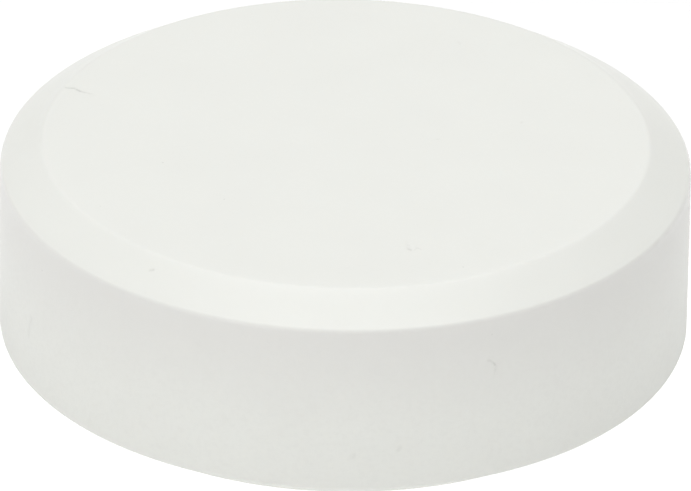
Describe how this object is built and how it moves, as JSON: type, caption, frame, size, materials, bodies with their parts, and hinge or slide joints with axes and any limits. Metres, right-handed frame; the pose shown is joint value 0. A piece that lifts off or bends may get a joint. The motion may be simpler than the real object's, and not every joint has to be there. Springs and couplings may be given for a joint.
{
  "type": "dealer button",
  "caption": "Plain round weighted dealer button, bevelled on both faces, with a flush base disc closing the underside and a steel weight clamped inside.",
  "frame": {"origin": "centre of the underside, on the puck's axis", "axes": "+Z along the puck's axis, from the underside to the upper face; X and Y lie in the underside, with +X along one of the inner ribs"},
  "size_m": [0.06, 0.06, 0.02],
  "materials": {
    "white_moulded_plastic": "fine-grained satin moulding in warm white",
    "plated_steel": "dull zinc plate",
    "damper_rubber": "matt black sheet rubber"
  },
  "bodies": {
    "root": {"body_shell": "white_moulded_plastic", "base_disc": "white_moulded_plastic", "weight_disc": "plated_steel", "damper_ring_upper": "damper_rubber", "damper_ring_lower": "damper_rubber"}
  },
  "joints": []
}
